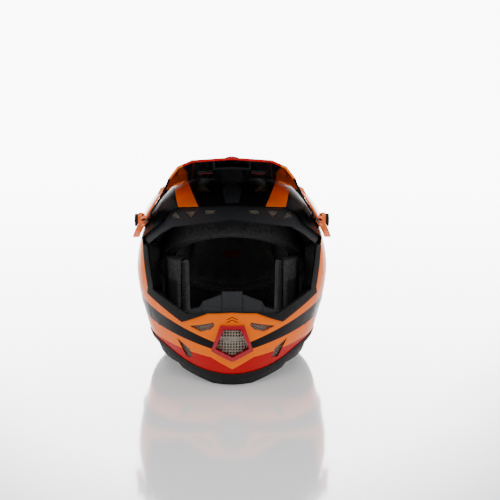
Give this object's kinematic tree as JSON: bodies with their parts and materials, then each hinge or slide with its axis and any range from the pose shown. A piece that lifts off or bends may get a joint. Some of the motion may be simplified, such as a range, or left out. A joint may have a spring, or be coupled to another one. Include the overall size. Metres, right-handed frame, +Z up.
{
  "type": "motocross helmet",
  "caption": "Full-face off-road helmet with a tilting visor, angular vented chin bar, open eyeport, floating liner, release cheek pads and double D-ring strap.",
  "frame": {"origin": "centre of the helmet's footprint box, on the surface that it stands on", "axes": "-Y towards the helmet's front, +X towards the wearer's left, +Z up; the helmet stands on its chin pad and rear rim pad, tipped back as on a shelf"},
  "size_m": [0.2618, 0.368, 0.2628],
  "materials": {
    "shell_paint": "glossy painted shell: orange, red band and black stripe under clear coat",
    "visor_plastic": "glossy black and orange moulded plastic",
    "black_trim": "matte black moulded plastic",
    "dark_grey_trim": "matte dark grey moulded plastic",
    "crimson_bezel": "satin crimson moulded plastic",
    "wire_mesh": "woven wire mesh",
    "rubber_trim": "soft black rubber",
    "eps_foam": "dark expanded polystyrene foam",
    "epp_foam": "black expanded polypropylene foam",
    "elastomer": "translucent orange elastomer",
    "comfort_fabric": "brushed knit fabric over foam",
    "mesh_fabric": "perforated spacer fabric over foam",
    "webbing": "woven nylon webbing",
    "red_webbing": "red woven pull tab",
    "snap_plate": "thin polyethylene plate with snaps",
    "steel": "zinc plated steel",
    "screw_plastic": "black nylon thumbscrew",
    "brass_insert": "threaded brass insert"
  },
  "bodies": {
    "shell": {"outer_shell": "shell_paint", "outer_eps_liner": "eps_foam", "chin_bar_eps": "eps_foam", "eyeport_trim": "rubber_trim", "lower_edge_trim": "rubber_trim", "sternum_pad": "epp_foam", "clavicle_pad_left": "epp_foam", "clavicle_pad_right": "epp_foam", "rear_rim_pad": "epp_foam", "chin_vent_frame": "crimson_bezel", "chin_vent_mesh": "wire_mesh", "chin_side_meshes": "wire_mesh", "mouth_guard": "dark_grey_trim", "brow_vent_cover": "dark_grey_trim", "brow_vent_mesh": "wire_mesh", "forehead_mesh": "wire_mesh", "forehead_boss": "dark_grey_trim", "rear_exhaust_vent": "black_trim", "rear_vent_mesh": "wire_mesh", "neck_roll": "comfort_fabric", "dampers": "elastomer", "strap_rivets": "steel", "visor_washers": "rubber_trim", "screw_inserts": "brass_insert"},
    "floating_liner": {"inner_eps_liner": "eps_foam", "fabric_carrier": "comfort_fabric", "crown_pad": "comfort_fabric", "brow_pad": "comfort_fabric", "side_pads": "comfort_fabric", "nape_pad": "comfort_fabric"},
    "cheek_pad_left": {"cheek_pad_cover_left": "mesh_fabric", "cheek_pad_core_left": "eps_foam", "cheek_pad_plate_left": "snap_plate", "release_tab_left": "red_webbing"},
    "cheek_pad_right": {"cheek_pad_cover_right": "mesh_fabric", "cheek_pad_core_right": "eps_foam", "cheek_pad_plate_right": "snap_plate", "release_tab_right": "red_webbing"},
    "chin_strap": {"strap_left": "webbing", "strap_right": "webbing", "d_ring_inner": "steel", "d_ring_outer": "steel", "strap_hangers": "steel", "chin_strap_pad": "comfort_fabric", "strap_snap": "steel"},
    "visor": {"visor": "visor_plastic", "visor_mesh": "wire_mesh", "visor_duct": "black_trim"},
    "side_screw_left": {"side_screw_left": "screw_plastic"},
    "side_screw_right": {"side_screw_right": "screw_plastic"},
    "center_screw": {"center_screw": "screw_plastic"}
  },
  "joints": [
    {"name": "visor_tilt", "type": "hinge", "parent": "shell", "child": "visor", "pos_m": [0, 0.003, 0.18], "axis": [-1, 0, 0], "range_deg": [-4, 8]},
    {"name": "side_screw_left_turn", "type": "hinge", "parent": "shell", "child": "side_screw_left", "pos_m": [0.122, 0.003, 0.18], "axis": [1, 0, 0], "continuous": true},
    {"name": "side_screw_right_turn", "type": "hinge", "parent": "shell", "child": "side_screw_right", "pos_m": [-0.122, 0.003, 0.18], "axis": [-1, 0, 0], "continuous": true},
    {"name": "center_screw_turn", "type": "hinge", "parent": "shell", "child": "center_screw", "pos_m": [0, -0.029, 0.24658], "axis": [0, -0.3442, 0.9389], "continuous": true},
    {"name": "liner_rotation", "type": "hinge", "parent": "shell", "child": "floating_liner", "pos_m": [0, 0.034, 0.108], "axis": [0, 0, 1], "range_deg": [-4, 4], "stiffness_Nm_per_rad": 20, "deforming": ["dampers"]},
    {"name": "cheek_pad_left_release", "type": "slide", "parent": "shell", "child": "cheek_pad_left", "axis": [0, 0, -1], "range_m": [0, 0.09]},
    {"name": "cheek_pad_right_release", "type": "slide", "parent": "shell", "child": "cheek_pad_right", "axis": [0, 0, -1], "range_m": [0, 0.09]},
    {"name": "chin_strap_swing", "type": "hinge", "parent": "shell", "child": "chin_strap", "pos_m": [0, 0.041, 0.07], "axis": [1, 0, 0], "range_deg": [-12, 22]}
  ]
}
